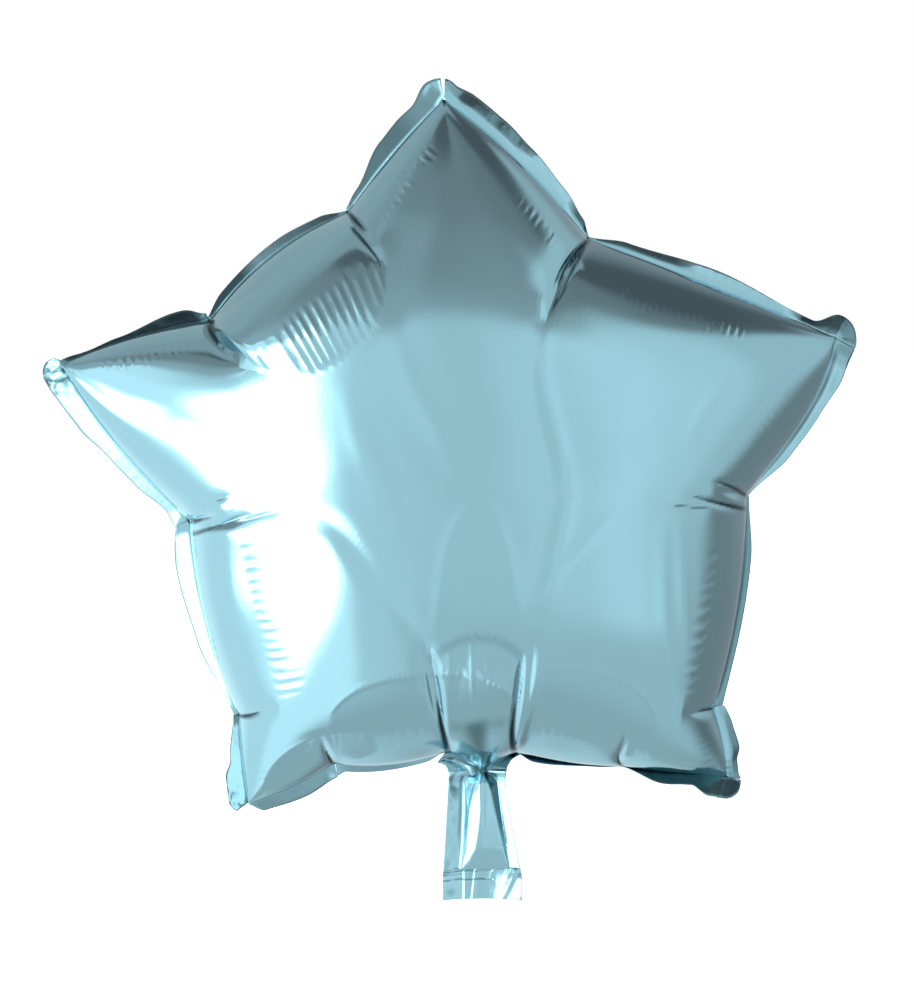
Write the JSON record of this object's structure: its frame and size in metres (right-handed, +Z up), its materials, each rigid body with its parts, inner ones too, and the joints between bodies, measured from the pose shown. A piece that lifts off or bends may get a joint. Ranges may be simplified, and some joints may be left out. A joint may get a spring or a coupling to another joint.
{
  "type": "star foil balloon",
  "caption": "Air-filled star-shaped foil balloon with a flat sealed margin round its pillowed body and a hanging filling neck.",
  "frame": {"origin": "centre of the star, midway between the two film panels; the air that carries the balloon acts there", "axes": "+Z up through the top point, +X to the right seen from the front, the front panel faces -Y"},
  "size_m": [0.4363, 0.1616, 0.4434],
  "materials": {
    "foil_blue": "light blue metallised film, glossy, with a soft satin haze",
    "seal_blue": "light blue metallised film, heat-sealed flat and finely crinkled"
  },
  "bodies": {
    "envelope": {"panel_front": "foil_blue", "panel_back": "foil_blue", "margin_top_right": "seal_blue", "margin_right_upper": "seal_blue", "margin_right_lower": "seal_blue", "margin_right_side": "seal_blue", "margin_right_foot": "seal_blue", "margin_right_toe": "seal_blue", "margin_right_base": "seal_blue", "margin_left_base": "seal_blue", "margin_left_toe": "seal_blue", "margin_left_foot": "seal_blue", "margin_left_side": "seal_blue", "margin_left_lower": "seal_blue", "margin_left_upper": "seal_blue", "margin_upper_left": "seal_blue", "margin_top_left": "seal_blue", "gather_web_right": "seal_blue", "gather_web_left": "seal_blue"},
    "neck": {"neck_front": "foil_blue", "neck_back": "foil_blue", "neck_margin_left": "seal_blue", "neck_margin_right": "seal_blue", "neck_end_seal": "seal_blue"}
  },
  "joints": [
    {"name": "neck_flop", "type": "hinge", "parent": "envelope", "child": "neck", "pos_m": [0.0025, 0, -0.16], "axis": [0.9985, 0, -0.0541], "range_deg": [-70, 70]}
  ]
}
